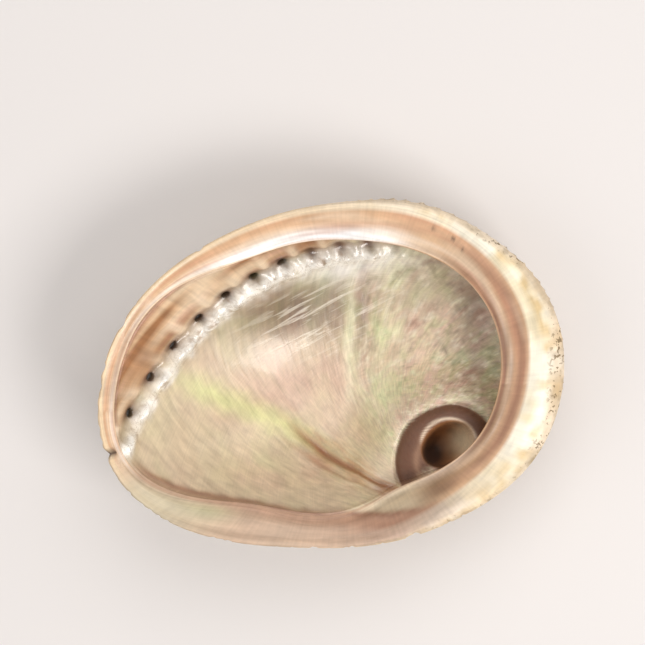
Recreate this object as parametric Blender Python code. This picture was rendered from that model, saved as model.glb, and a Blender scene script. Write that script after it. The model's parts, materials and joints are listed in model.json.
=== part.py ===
"""An abalone shell, resting on its back with its pearly bowl up.

The whole shell is one solid. It is described in an aperture frame: X runs along the shell's length, Y
across it and Z out of the bowl, with the rim near Z = 0. A sphere is drawn out into that form. Its upper
pole becomes the bottom of the bowl, its belt the rim and its lower pole the outside of the back. The
finished solid is then turned to the attitude in which it rests.
"""

import math

import bmesh
import bpy
import numpy as np
from mathutils import Matrix, Vector

MM = 0.001

# ---- Driving dimensions, in millimetres ----
INNER_DEPTH = 30.2  # rim down to the bottom of the bowl
OUTER_DEPTH = 33.0  # rim down to the back
CENTRE = (5.4, -2.9)  # deepest point of the bowl, from the middle of the outline
SPIRE = (33.7, -20.9)  # axis that the shell coils round, from the middle of the outline

# Sizes round the bowl at every 22.5 degrees, anticlockwise from +X as the bowl is looked into.
# Radius of the outline from the deepest point.
OUTLINE = (59.5, 60.5, 57.0, 54.0, 51.0, 51.5, 55.5, 63.0, 69.5, 69.5, 59.0, 49.0, 45.5, 46.0, 49.5, 55.5)
# How far in from the outline, and how high: the crest of the rim,
CREST_IN = (5.0, 4.4, 2.8, 1.8, 1.0, 0.7, 0.6, 0.6, 0.6, 0.6, 0.6, 0.6, 0.8, 1.6, 3.0, 4.4)
CREST_UP = (-0.4, -0.3, 0.0, 0.0, 0.0, 0.0, 0.0, 0.0, 0.0, 0.0, 0.0, 0.0, 0.0, -0.2, -0.5, -0.5)
# the shallow band where the shelf meets the rim,
BAND_IN = (9.6, 7.8, 4.6, 3.2, 2.0, 1.7, 1.5, 1.3, 1.4, 2.0, 3.6, 3.4, 3.2, 4.4, 6.8, 9.0)
BAND_UP = (-1.6, -1.3, -0.8, -0.5, -0.3, -0.3, -0.2, -0.2, -0.3, -0.6, -1.3, -1.4, -1.4, -1.8, -2.0, -1.8)
# the shelf's free edge,
EDGE_IN = (17.6, 16.6, 13.6, 12.8, 10.8, 9.4, 8.4, 4.4, 4.6, 5.2, 11.8, 9.6, 9.6, 13.4, 14.8, 16.6)
EDGE_UP = (-4.2, -3.8, -3.2, -2.8, -2.2, -1.6, -1.2, -0.8, -0.9, -1.8, -4.6, -4.4, -5.0, -9.4, -8.0, -5.4)
# the widest part of the bowl beneath it,
WIDEST_IN = (4.8, 4.8, 4.8, 5.0, 6.0, 8.4, 9.4, 5.6, 5.8, 6.4, 12.6, 10.6, 10.8, 14.2, 15.2, 11.4)
WIDEST_UP = (-10.0, -9.5, -8.0, -7.0, -5.4, -4.0, -2.8, -2.2, -2.3, -3.2, -5.8, -5.6, -5.8, -9.6, -14.5, -14.0)
# the outside, where the wall turns down into the back,
SIDE_IN = (0.0, 0.0, 0.0, 0.1, 0.4, 1.2, 2.2, 2.4, 2.6, 3.4, 6.8, 6.4, 6.0, 4.6, 2.0, 0.4)
SIDE_UP = (-9.0, -8.5, -7.0, -6.0, -5.0, -4.4, -3.8, -3.4, -3.6, -4.6, -7.0, -7.0, -7.2, -7.6, -8.0, -9.0)
# and how full the bowl and the back are: 0.5 is a round hollow, 1 a pointed one.
BOWL_FORM = (0.50, 0.50, 0.50, 0.52, 0.56, 0.66, 0.78, 0.86, 0.90, 0.88, 0.84, 0.82, 0.80, 0.70, 0.56, 0.50)
BACK_FORM = (0.52, 0.52, 0.52, 0.54, 0.58, 0.66, 0.74, 0.80, 0.84, 0.84, 0.80, 0.76, 0.74, 0.66, 0.56, 0.52)
# 1 where the shelf overhangs the bowl, 0 where the wall runs straight up to it.
OVERHANG = (1.0, 1.0, 1.0, 1.0, 0.9, 0.5, 0.1, 0.0, 0.0, 0.0, 0.0, 0.0, 0.0, 0.1, 0.5, 0.9)

BOWL_MIDDLE = (57.0, 42.0)  # half-axes of the oval that the bowl's floor settles to at the middle
BACK_MIDDLE = (63.0, 49.0)
MIDDLE_FORM = 0.62

# Round the spire: a ring of old wall, with a groove outside it and a hollow inside it.
GROOVE_RADIUS = (13.0, 12.8, 12.6, 12.2, 11.8, 11.6, 12.2, 13.2, 14.4, 16.2, 17.6, 18.4, 18.0, 16.0, 14.0, 13.2)
RING_HEIGHT = -13.0
GROOVE_HEIGHT = -15.5
SLOPE_WIDTH = 10.0
HOLLOW_LENGTH, HOLLOW_WIDTH = 16.0, 12.4
HOLLOW_TURN = 35.0  # degrees from +X to its long axis
HOLLOW_SHIFT = 0.8  # from the spire's axis, square to its long axis
HOLLOW_FLOOR = -25.0
SPIRE_RISE = 3.0
SPIRE_WIDTH = 11.0

# The row of pores, on a spiral round the spire, from the youngest at the margin.
PORE_COUNT = 11
OPEN_PORES = 8
PORE_FIRST, PORE_STEP = 180.5, 6.9  # degrees about the spire
PORE_RADIUS, PORE_GROWTH = 93.6, 0.348
PORE_LENGTH, PORE_WIDTH = 3.0, 2.2
PORE_FLARE = 1.25  # how much wider a pore is outside than inside
DIMPLE_DEPTH = 0.8  # of the old, closed pores

# At rest the shell leans over until its weight is above the point it stands on.
LEAN, LEAN_TOWARDS = 5.9, 13.4  # degrees; the side that goes down, anticlockwise from +X
WORN_DEPTH = 0.2  # worn away where it stands

COLUMNS = 84
CROWDING = 0.5  # how closely the columns gather at the spire
INNER_RINGS, OUTER_RINGS, WALL_RINGS, BACK_RINGS = 5, 13, 4, 13

SHELL_COLOUR, SHELL_ROUGHNESS = (0.78, 0.68, 0.55, 1.0), 0.45


def around(values, angle):
    """Smooth closed curve through equally spaced values, read at an angle in radians."""
    values = np.asarray(values, float)
    count = len(values)
    pull = np.eye(count) * 4 + np.roll(np.eye(count), 1, 0) + np.roll(np.eye(count), -1, 0)
    knots = np.linalg.solve(pull / 6, values)
    place = np.asarray(angle, float) / (2 * math.pi) * count
    first = np.floor(place).astype(int)
    t = place - first
    a, b, c, d = (knots[(first + k) % count] for k in (-1, 0, 1, 2))
    blend_a, blend_b = (1 - t) ** 3, 3 * t**3 - 6 * t**2 + 4
    blend_c, blend_d = -3 * t**3 + 3 * t**2 + 3 * t + 1, t**3
    return (blend_a * a + blend_b * b + blend_c * c + blend_d * d) / 6


def ramp(low, high, x):
    """0 below low, 1 above high, smooth between."""
    t = np.clip((x - low) / (high - low), 0, 1)
    return t * t * (3 - 2 * t)


def hollow(angle, radius, widest, height, depth, form, middle):
    """Height of a bowl-like surface at a radius; near the middle it settles to one oval."""
    u = radius / widest
    outer = ramp(0.2, 0.8, u)
    oval = (radius * np.cos(angle) / middle[0]) ** 2 + (radius * np.sin(angle) / middle[1]) ** 2
    square = np.clip((1 - outer) * oval + outer * u * u, 0, 1)
    power = MIDDLE_FORM + outer * (form - MIDDLE_FORM)
    level = height * outer
    return level - (depth + level) * (1 - square) ** power


def about_spire(x, y):
    """Radius and angle about the spire's axis."""
    return np.hypot(x - SPIRE[0], y - SPIRE[1]), np.arctan2(y - SPIRE[1], x - SPIRE[0])


def shape_spire(x, y, z):
    """Raise the bowl's floor to the ring round the spire, with a groove along the ring's outer side."""
    radius, turn = about_spire(x, y)
    groove = around(GROOVE_RADIUS, turn)
    outside = np.clip(radius - groove, 0, None)
    nearness = np.exp(-((outside / SLOPE_WIDTH) ** 2))
    ring = ramp(0, 3.5, groove - radius)
    target = GROOVE_HEIGHT + (RING_HEIGHT - GROOVE_HEIGHT) * ring
    return z + nearness * (target - z)


def rim_points(angle):
    """Radius and height of the points that the rim's cross-section runs through, bowl side first."""
    line = around(OUTLINE, angle)
    edge = line - around(EDGE_IN, angle)
    edge_up = around(EDGE_UP, angle)
    band = line - around(BAND_IN, angle)
    band_up = around(BAND_UP, angle)
    crest = line - around(CREST_IN, angle)
    crest_up = around(CREST_UP, angle)
    side = line - around(SIDE_IN, angle)
    side_up = around(SIDE_UP, angle)
    over = np.clip(around(OVERHANG, angle), 0, 1)
    shelf_up = 0.45 * edge_up + 0.55 * band_up + 0.5 * over
    belly = 0.35 * crest_up + 0.65 * side_up
    return (
        (edge + 0.9 * over - 0.5 * (1 - over), edge_up - 1.3 * over - 0.5 * (1 - over)),
        (edge - 0.15 * (1 - over), edge_up - 0.6 * over - 0.2 * (1 - over)),
        (edge + 0.8, edge_up),
        (0.5 * edge + 0.5 * band, shelf_up),
        (band, band_up),
        (crest, crest_up),
        (line - 0.15, 0.75 * crest_up + 0.25 * side_up - 0.2),
        (0.5 * line + 0.5 * side, belly),
        (side, side_up),
    )


def shell_section(angle, station):
    """Radius and height of the section at an angle.

    Stations run 0 to 1 over the bowl, 1 to 2 up the wall under the shelf, 2 to 10 over the rim and
    10 to 11 over the back.
    """
    points = rim_points(angle)
    line = around(OUTLINE, angle)
    widest = line - around(WIDEST_IN, angle)
    widest_up = around(WIDEST_UP, angle)
    side, side_up = points[-1]
    radius = np.zeros_like(angle)
    height = np.zeros_like(angle)

    floor = station <= 1
    reach = widest * np.sin(math.pi / 2 * np.clip(station, 0, 1))
    form = around(BOWL_FORM, angle)
    level = hollow(angle, reach, widest, widest_up, INNER_DEPTH, form, BOWL_MIDDLE)
    x, y = CENTRE[0] + reach * np.cos(angle), CENTRE[1] + reach * np.sin(angle)
    level = shape_spire(x, y, level)
    radius = np.where(floor, reach, radius)
    height = np.where(floor, level, height)

    # Where the floor has been raised or sunk, the wall starts from its new height.
    start_x, start_y = CENTRE[0] + widest * np.cos(angle), CENTRE[1] + widest * np.sin(angle)
    start_up = shape_spire(start_x, start_y, widest_up)
    start_up = np.minimum(start_up, points[0][1] - 0.6)
    height = np.where(floor, np.minimum(height, np.where(reach > 0.9 * widest, points[0][1] - 0.6, 0)), height)
    wall = (station > 1) & (station <= 2)
    swing = math.pi / 2 * np.clip(station - 1, 0, 1)
    radius = np.where(wall, points[0][0] + (widest - points[0][0]) * np.cos(swing), radius)
    height = np.where(wall, start_up + (points[0][1] - start_up) * np.sin(swing), height)

    before = (0.5 * widest + 0.5 * points[0][0], start_up + 0.87 * (points[0][1] - start_up))
    after_up = hollow(angle, 0.985 * side, side, side_up, OUTER_DEPTH, around(BACK_FORM, angle), BACK_MIDDLE)
    chain = (before,) + points + ((0.985 * side, after_up),)
    for k in range(1, len(chain) - 2):
        here = (station > k + 1) & (station <= k + 2)
        t = np.clip(station - k - 1, 0, 1)
        step = [np.hypot(chain[k + j + 1][0] - chain[k + j][0], chain[k + j + 1][1] - chain[k + j][1]) + 1e-6
                for j in (-1, 0, 1)]
        for target, axis in ((radius, 0), (height, 1)):
            p = [chain[k + j][axis] for j in (-1, 0, 1, 2)]
            slope = [(p[j + 1] - p[j]) / step[j] for j in (0, 1, 2)]
            first = (slope[0] * step[1] + slope[1] * step[0]) / (step[0] + step[1]) * step[1]
            last = (slope[1] * step[2] + slope[2] * step[1]) / (step[1] + step[2]) * step[1]
            curve = ((2 * t**3 - 3 * t**2 + 1) * p[1] + (t**3 - 2 * t**2 + t) * first
                     + (3 * t**2 - 2 * t**3) * p[2] + (t**3 - t**2) * last)
            np.copyto(target, curve, where=here)

    back = station > 10
    reach = side * np.cos(math.pi / 2 * np.clip(station - 10, 0, 1))
    level = hollow(angle, reach, side, side_up, OUTER_DEPTH, around(BACK_FORM, angle), BACK_MIDDLE)
    x, y = CENTRE[0] + reach * np.cos(angle), CENTRE[1] + reach * np.sin(angle)
    away, turn = about_spire(x, y)
    rise = SPIRE_RISE * np.exp(-((away / SPIRE_WIDTH) ** 2))
    radius = np.where(back, reach, radius)
    height = np.where(back, level - rise, height)
    return radius, height


def stations():
    """Stations of the rings between the two poles."""
    inner = [0.34 * (k + 1) / INNER_RINGS for k in range(INNER_RINGS)]
    outer = [0.34 + 0.66 * (k + 1) / OUTER_RINGS for k in range(OUTER_RINGS)]
    wall = [1 + (k + 1) / WALL_RINGS for k in range(WALL_RINGS)]
    rim = [3, 4, 4.5, 5, 5.5, 6, 6.5, 7, 8, 9, 10]
    back = [10 + (k + 1) / (BACK_RINGS + 1) for k in range(BACK_RINGS)]
    return np.array([0] + inner + outer + wall + rim + back + [11], float)


def new_object(name, mesh, collection):
    """Make an object of a bmesh and put it in a collection."""
    data = bpy.data.meshes.new(name)
    bmesh.ops.recalc_face_normals(mesh, faces=mesh.faces)
    mesh.to_mesh(data)
    mesh.free()
    item = bpy.data.objects.new(name, data)
    collection.objects.link(item)
    return item


def make_shell(collection):
    """Draw a sphere out into the shell."""
    levels = stations()
    mesh = bmesh.new()
    bmesh.ops.create_uvsphere(mesh, u_segments=COLUMNS, v_segments=len(levels) - 1, radius=1.0)
    spots = np.array([v.co[:] for v in mesh.verts])
    even = np.arctan2(spots[:, 1], spots[:, 0])
    spire_angle = math.atan2(SPIRE[1] - CENTRE[1], SPIRE[0] - CENTRE[0])
    angle = even - CROWDING * np.sin(even - spire_angle)
    ring = np.rint(np.arccos(np.clip(spots[:, 2], -1, 1)) / math.pi * (len(levels) - 1)).astype(int)
    radius, height = shell_section(angle, levels[ring])
    for vertex, a, r, z in zip(mesh.verts, angle, radius, height):
        vertex.co = Vector((CENTRE[0] + r * math.cos(a), CENTRE[1] + r * math.sin(a), z)) * MM
    return new_object("abalone_shell", mesh, collection)


def floor_height(x, y):
    """Height of the bowl's floor at a point."""
    dx, dy = np.array([x - CENTRE[0]]), np.array([y - CENTRE[1]])
    angle, radius = np.arctan2(dy, dx), np.hypot(dx, dy)
    widest = around(OUTLINE, angle) - around(WIDEST_IN, angle)
    form, height = around(BOWL_FORM, angle), around(WIDEST_UP, angle)
    radius = np.minimum(radius, widest)
    return float(hollow(angle, radius, widest, height, INNER_DEPTH, form, BOWL_MIDDLE)[0])


def pore_frame(number):
    """Position of a pore on the bowl's floor, turned so that Z is square to the floor and X follows the row."""
    turn = math.radians(PORE_FIRST - PORE_STEP * number)
    radius = PORE_RADIUS * math.exp(PORE_GROWTH * (turn - math.radians(PORE_FIRST)))
    x, y = SPIRE[0] + radius * math.cos(turn), SPIRE[1] + radius * math.sin(turn)
    slope_x = floor_height(x + 0.5, y) - floor_height(x - 0.5, y)
    slope_y = floor_height(x, y + 0.5) - floor_height(x, y - 0.5)
    up = Vector((-slope_x, -slope_y, 1)).normalized()
    along = Vector((-math.sin(turn), math.cos(turn), 0)) + PORE_GROWTH * Vector((math.cos(turn), math.sin(turn), 0))
    along = (along - up * along.dot(up)).normalized()
    across = up.cross(along)
    place = Matrix((along, across, up)).transposed().to_4x4()
    place.translation = Vector((x, y, floor_height(x, y))) * MM
    return place


def make_pore_cutter(number, collection):
    """A tapered oval plug: right through the wall at an open pore, shallow at a closed one."""
    depth = 9.0 if number < OPEN_PORES else DIMPLE_DEPTH
    top = 3.0
    mesh = bmesh.new()
    wide = PORE_FLARE if number < OPEN_PORES else 0.8
    bmesh.ops.create_cone(
        mesh, cap_ends=True, segments=12, radius1=0.5 * wide, radius2=0.5, depth=(depth + top) * MM
    )
    bmesh.ops.translate(mesh, verts=mesh.verts, vec=(0, 0, 0.5 * (top - depth) * MM))
    bmesh.ops.scale(mesh, verts=mesh.verts, vec=(PORE_LENGTH * MM, PORE_WIDTH * MM, 1))
    bmesh.ops.transform(mesh, verts=mesh.verts, matrix=pore_frame(number))
    return new_object(f"pore_cutter_{number}", mesh, collection)


def make_hollow_cutter(collection):
    """A rounded plug that sinks the hollow inside the spire's ring."""
    mesh = bmesh.new()
    bmesh.ops.create_uvsphere(mesh, u_segments=24, v_segments=14, radius=0.5)
    depth = -2 * HOLLOW_FLOOR
    bmesh.ops.scale(mesh, verts=mesh.verts, vec=(HOLLOW_LENGTH * MM, HOLLOW_WIDTH * MM, depth * MM))
    turn = math.radians(HOLLOW_TURN)
    x = SPIRE[0] - HOLLOW_SHIFT * math.sin(turn)
    y = SPIRE[1] + HOLLOW_SHIFT * math.cos(turn)
    bmesh.ops.rotate(mesh, verts=mesh.verts, cent=(0, 0, 0), matrix=Matrix.Rotation(turn, 3, "Z"))
    bmesh.ops.translate(mesh, verts=mesh.verts, vec=(x * MM, y * MM, 0))
    return new_object("hollow_cutter", mesh, collection)


def cut(item, cutter):
    """Take a cutter out of an object and keep the result as its mesh."""
    step = item.modifiers.new("cut", "BOOLEAN")
    step.operation = "DIFFERENCE"
    step.solver = "EXACT"
    step.object = cutter
    depsgraph = bpy.context.evaluated_depsgraph_get()
    result = bpy.data.meshes.new_from_object(item.evaluated_get(depsgraph))
    item.modifiers.clear()
    item.data = result


def set_down(item):
    """Turn the shell to its resting attitude, wear the foot flat and put the foot's plane at Z = 0."""
    towards = math.radians(LEAN_TOWARDS)
    axis = Vector((-math.sin(towards), math.cos(towards), 0))
    item.data.transform(Matrix.Rotation(math.radians(LEAN), 4, axis))
    lowest = min(v.co.z for v in item.data.vertices)
    mesh = bmesh.new()
    mesh.from_mesh(item.data)
    level = lowest + WORN_DEPTH * MM
    everything = mesh.verts[:] + mesh.edges[:] + mesh.faces[:]
    bmesh.ops.bisect_plane(mesh, geom=everything, plane_co=(0, 0, level), plane_no=(0, 0, -1), clear_outer=True)
    rim = [edge for edge in mesh.edges if edge.is_boundary]
    bmesh.ops.edgeloop_fill(mesh, edges=rim)
    bmesh.ops.recalc_face_normals(mesh, faces=mesh.faces)
    xs = [v.co.x for v in mesh.verts]
    ys = [v.co.y for v in mesh.verts]
    shift = (-(min(xs) + max(xs)) / 2, -(min(ys) + max(ys)) / 2, -level)
    bmesh.ops.translate(mesh, verts=mesh.verts, vec=shift)
    mesh.to_mesh(item.data)
    mesh.free()


def shell_material():
    """Plain shell colour."""
    material = bpy.data.materials.new("shell")
    material.use_nodes = True
    shader = material.node_tree.nodes["Principled BSDF"]
    shader.inputs["Base Color"].default_value = SHELL_COLOUR
    shader.inputs["Roughness"].default_value = SHELL_ROUGHNESS
    shader.inputs["Metallic"].default_value = 0.0
    return material


def main():
    for old in list(bpy.data.objects):
        bpy.data.objects.remove(old, do_unlink=True)
    parts = bpy.data.collections.new("abalone_shell")
    cutters = bpy.data.collections.new("cutters")
    bpy.context.scene.collection.children.link(parts)
    bpy.context.scene.collection.children.link(cutters)

    shell = make_shell(parts)
    tools = [make_hollow_cutter(cutters)]
    tools += [make_pore_cutter(number, cutters) for number in range(PORE_COUNT)]
    for tool in tools:
        tool.hide_render = True
        tool.display_type = "WIRE"
        cut(shell, tool)
    set_down(shell)
    shell.data.materials.clear()
    shell.data.materials.append(shell_material())
    shell.data.shade_smooth()
    shell.data.set_sharp_from_angle(angle=math.radians(50))


main()
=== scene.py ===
"""The looks of an abalone shell that rests on its back, seen looking down into its pearly bowl.

The shell is drawn out of a sphere, as one closed skin: the sphere's upper pole is the bottom of the bowl,
its belt the rim, and its lower pole the back. Sizes are in millimetres in the shell's aperture frame, with
X along the shell, Y across it, Z out of the bowl and the rim near Z = 0. The finished skin is then turned
to the attitude in which the shell rests.
"""

import json
import math

import bmesh
import bpy
import numpy as np
from mathutils import Matrix, Vector, noise
from mathutils.kdtree import KDTree

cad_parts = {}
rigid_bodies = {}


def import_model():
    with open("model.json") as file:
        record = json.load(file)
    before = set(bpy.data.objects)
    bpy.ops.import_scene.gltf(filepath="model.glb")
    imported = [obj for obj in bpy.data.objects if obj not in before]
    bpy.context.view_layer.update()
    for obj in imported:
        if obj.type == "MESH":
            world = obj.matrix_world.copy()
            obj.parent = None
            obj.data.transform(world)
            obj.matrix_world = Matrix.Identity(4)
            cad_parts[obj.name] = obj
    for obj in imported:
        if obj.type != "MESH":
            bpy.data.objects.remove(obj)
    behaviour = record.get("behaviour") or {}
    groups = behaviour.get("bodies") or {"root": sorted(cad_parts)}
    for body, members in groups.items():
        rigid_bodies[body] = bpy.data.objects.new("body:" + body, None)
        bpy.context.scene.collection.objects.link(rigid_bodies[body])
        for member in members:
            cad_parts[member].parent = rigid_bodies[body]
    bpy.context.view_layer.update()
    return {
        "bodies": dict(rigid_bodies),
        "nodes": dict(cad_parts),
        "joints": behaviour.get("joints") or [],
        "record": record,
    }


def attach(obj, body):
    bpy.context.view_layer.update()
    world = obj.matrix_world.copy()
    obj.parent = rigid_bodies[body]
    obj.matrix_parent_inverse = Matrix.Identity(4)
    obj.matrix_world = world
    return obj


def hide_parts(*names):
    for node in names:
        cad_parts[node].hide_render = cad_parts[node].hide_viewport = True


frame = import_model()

MM = 0.001

# ---- Form of the shell, in millimetres ----
INNER_DEPTH = 30.2  # rim down to the bottom of the bowl
OUTER_DEPTH = 33.0  # rim down to the back
CENTRE = (5.4, -2.9)  # deepest point of the bowl
SPIRE = (33.7, -20.9)  # axis that the shell coils round

# Sizes round the bowl at every 22.5 degrees, anticlockwise from +X.
# Radius of the outline from the deepest point.
OUTLINE = (59.5, 60.5, 57.0, 54.0, 51.0, 51.5, 55.5, 63.0, 69.5, 69.5, 59.0, 49.0, 45.5, 46.0, 49.5, 55.5)
# How far in from the outline, and how high: the crest of the rim,
CREST_IN = (5.0, 4.4, 2.8, 1.8, 1.0, 0.7, 0.6, 0.6, 0.6, 0.6, 0.6, 0.6, 0.8, 1.6, 3.0, 4.4)
CREST_UP = (-0.4, -0.3, 0.0, 0.0, 0.0, 0.0, 0.0, 0.0, 0.0, 0.0, 0.0, 0.0, 0.0, -0.2, -0.5, -0.5)
# the shallow band where the shelf meets the rim,
BAND_IN = (9.6, 7.8, 4.6, 3.2, 2.0, 1.7, 1.5, 1.3, 1.4, 2.0, 3.6, 3.4, 3.2, 4.4, 6.8, 9.0)
BAND_UP = (-1.6, -1.3, -0.8, -0.5, -0.3, -0.3, -0.2, -0.2, -0.3, -0.6, -1.3, -1.4, -1.4, -1.8, -2.0, -1.8)
# the shelf's free edge,
EDGE_IN = (17.6, 16.6, 13.6, 12.8, 10.8, 9.4, 8.4, 4.4, 4.6, 5.2, 11.8, 9.6, 9.6, 13.4, 14.8, 16.6)
EDGE_UP = (-4.2, -3.8, -3.2, -2.8, -2.2, -1.6, -1.2, -0.8, -0.9, -1.8, -4.6, -4.4, -5.0, -9.4, -8.0, -5.4)
# the widest part of the bowl beneath it,
WIDEST_IN = (4.8, 4.8, 4.8, 5.0, 6.0, 8.4, 9.4, 5.6, 5.8, 6.4, 12.6, 10.6, 10.8, 14.2, 15.2, 11.4)
WIDEST_UP = (
    -10.0, -9.5, -8.0, -7.0, -5.4, -4.0, -2.8, -2.2, -2.3, -3.2, -5.8, -5.6, -5.8, -9.6, -14.5, -14.0,
)
# and the outside, where the wall turns down into the back.
SIDE_IN = (0.0, 0.0, 0.0, 0.1, 0.4, 1.2, 2.2, 2.4, 2.6, 3.4, 6.8, 6.4, 6.0, 4.6, 2.0, 0.4)
SIDE_UP = (-9.0, -8.5, -7.0, -6.0, -5.0, -4.4, -3.8, -3.4, -3.6, -4.6, -7.0, -7.0, -7.2, -7.6, -8.0, -9.0)
# How full the bowl and the back are towards their edges: 0.5 is an ellipse, 1 a paraboloid.
BOWL_FORM = (0.50, 0.50, 0.50, 0.52, 0.56, 0.66, 0.78, 0.86, 0.90, 0.88, 0.84, 0.82, 0.80, 0.70, 0.56, 0.50)
BACK_FORM = (0.52, 0.52, 0.52, 0.54, 0.58, 0.66, 0.74, 0.80, 0.84, 0.84, 0.80, 0.76, 0.74, 0.66, 0.56, 0.52)
# 1 where the shelf overhangs the bowl.
OVERHANG = (1.0, 1.0, 1.0, 1.0, 0.9, 0.5, 0.1, 0.0, 0.0, 0.0, 0.0, 0.0, 0.0, 0.1, 0.5, 0.9)

# The oval that the bowl and the back settle to near their middles.
BOWL_MIDDLE = (57.0, 42.0)
BACK_MIDDLE = (63.0, 49.0)
MIDDLE_FORM = 0.62

# The spire: a rounded ring in the bowl, the groove outside it, the hollow inside it, and a low dome outside.
GROOVE_RADIUS = (
    13.0, 12.8, 12.6, 12.2, 11.8, 11.6, 12.2, 13.2, 14.4, 16.2, 17.6, 18.4, 18.0, 16.0, 14.0, 13.2,
)
RING_HEIGHT = -13.0
GROOVE_HEIGHT = -15.5
SLOPE_WIDTH = 10.0
HOLLOW_LENGTH, HOLLOW_WIDTH = 16.0, 12.4
HOLLOW_TURN = 35.0
HOLLOW_SHIFT = 0.8
HOLLOW_FLOOR = -25.0
SPIRE_RISE = 3.0
SPIRE_WIDTH = 11.0

# The row of pores, on a spiral round the spire, counted from the youngest at the margin.
OPEN_PORES = 8
PORE_FIRST, PORE_STEP = 180.5, 6.9  # degrees round the spire
PORE_RADIUS, PORE_GROWTH = 93.6, 0.348
PORE_LENGTH, PORE_WIDTH = 2.7, 1.8
PORE_SHARE_IN, PORE_SHARE_OUT = 0.44, 0.54  # half-size of the bore inside and outside, as a share of those
BORE_LENGTH, BORE_SHIFT, BORE_SIDES = 13.0, -3.5, 24
NOTCH_ANGLE, NOTCH_DEPTH, NOTCH_SPREAD = 196.1, 1.2, 0.85  # the youngest pore, still open at the margin

# The growing lip's line: its angle round the spire, in radians, at places across the whorl.
LIP_ACROSS = (2.2, 3.4, 4.6, 6.0, 7.2, 8.4, 9.2, 9.9)
LIP_TURN = (5.6, 4.98, 4.45, 4.05, 3.79, 3.53, 3.35, 3.14)
# How far in from the outline the lip's flare meets the bowl, at every 22.5 degrees.
FLARE_IN = (9.6, 7.7, 4.4, 2.9, 1.5, 1.2, 1.2, 1.5, 3.0, 8.0, 14.0, 11.0, 9.8, 7.6, 7.2, 8.6)

# ---- Relief, in millimetres ----
BOSS, BANK, SADDLE, TRENCH, RIB, FUNNEL = 1.5, 0.7, 0.6, 0.9, 0.9, 0.5  # beside and between the pores
FOLD_AGE = 0.60  # place of the old lip's fold, in radians of growth behind the present lip
FOLD_RISE, FOLD_SINK = 0.5, 0.7
GROOVE = 0.35  # behind the present lip
GROWTH_STEPS, STEP_HEIGHT = 19, 0.75  # steps to a radian of growth, outside
THREADS, THREAD_HEIGHT = 13, 0.30
KEEL, TUBE, WHORL, CRUST, GRAIN = 0.8, 1.3, 0.9, 0.22, 0.10
OUTSIDE_LOWEST, OUTSIDE_SKIN = -0.1, 0.15
CHIP_DEPTH = 0.9

# Resting attitude: degrees of lean, the side that goes down, and the move onto the floor.
LEAN, LEAN_TOWARDS = 5.9, 13.4
SET_DOWN = (-0.156, 0.104, 33.553)
WORN_LEVEL = 0.0  # the worn foot lies on the floor

# Fineness of the skin.
COLUMNS = 540
CROWDING = 0.22  # how much closer the columns stand at the spire
FLOOR_RINGS, WALL_RINGS, RIM_RINGS, BACK_RINGS = 74, 10, 34, 46


# ---- Form ----


def around(values, angle):
    """Smooth closed curve through equally spaced values, read at an angle in radians."""
    values = np.asarray(values, float)
    count = len(values)
    pull = np.eye(count) * 4 + np.roll(np.eye(count), 1, 0) + np.roll(np.eye(count), -1, 0)
    knots = np.linalg.solve(pull / 6, values)
    place = np.asarray(angle, float) / (2 * math.pi) * count
    first = np.floor(place).astype(int)
    t = place - first
    a, b, c, d = (knots[(first + k) % count] for k in (-1, 0, 1, 2))
    blend_a, blend_b = (1 - t) ** 3, 3 * t**3 - 6 * t**2 + 4
    blend_c, blend_d = -3 * t**3 + 3 * t**2 + 3 * t + 1, t**3
    return (blend_a * a + blend_b * b + blend_c * c + blend_d * d) / 6


def ramp(low, high, x):
    """0 below low, 1 above high, smooth between."""
    t = np.clip((x - low) / (high - low), 0, 1)
    return t * t * (3 - 2 * t)


def bell(x, width):
    """1 at zero, falling away over a width."""
    return np.exp(-((x / width) ** 2))


def hollow(angle, radius, widest, height, depth, form, middle):
    """Height of a bowl-like surface at a radius; near the middle it settles to one oval."""
    u = radius / widest
    outer = ramp(0.2, 0.8, u)
    oval = (radius * np.cos(angle) / middle[0]) ** 2 + (radius * np.sin(angle) / middle[1]) ** 2
    square = np.clip((1 - outer) * oval + outer * u * u, 0, 1)
    power = MIDDLE_FORM + outer * (form - MIDDLE_FORM)
    level = height * outer
    return level - (depth + level) * (1 - square) ** power


def about_spire(x, y):
    """Radius and angle about the spire's axis; the angle runs from -75 to 285 degrees."""
    turn = np.arctan2(y - SPIRE[1], x - SPIRE[0])
    turn = np.where(turn < math.radians(-75), turn + 2 * math.pi, turn)
    return np.hypot(x - SPIRE[0], y - SPIRE[1]), turn


def hollow_reach(x, y):
    """Distance from the middle of the spire's hollow, as a share of its oval mouth."""
    turn = math.radians(HOLLOW_TURN)
    dx = x - SPIRE[0] + HOLLOW_SHIFT * math.sin(turn)
    dy = y - SPIRE[1] - HOLLOW_SHIFT * math.cos(turn)
    along = dx * math.cos(turn) + dy * math.sin(turn)
    across = -dx * math.sin(turn) + dy * math.cos(turn)
    return np.hypot(along / (0.5 * HOLLOW_LENGTH), across / (0.5 * HOLLOW_WIDTH))


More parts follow.
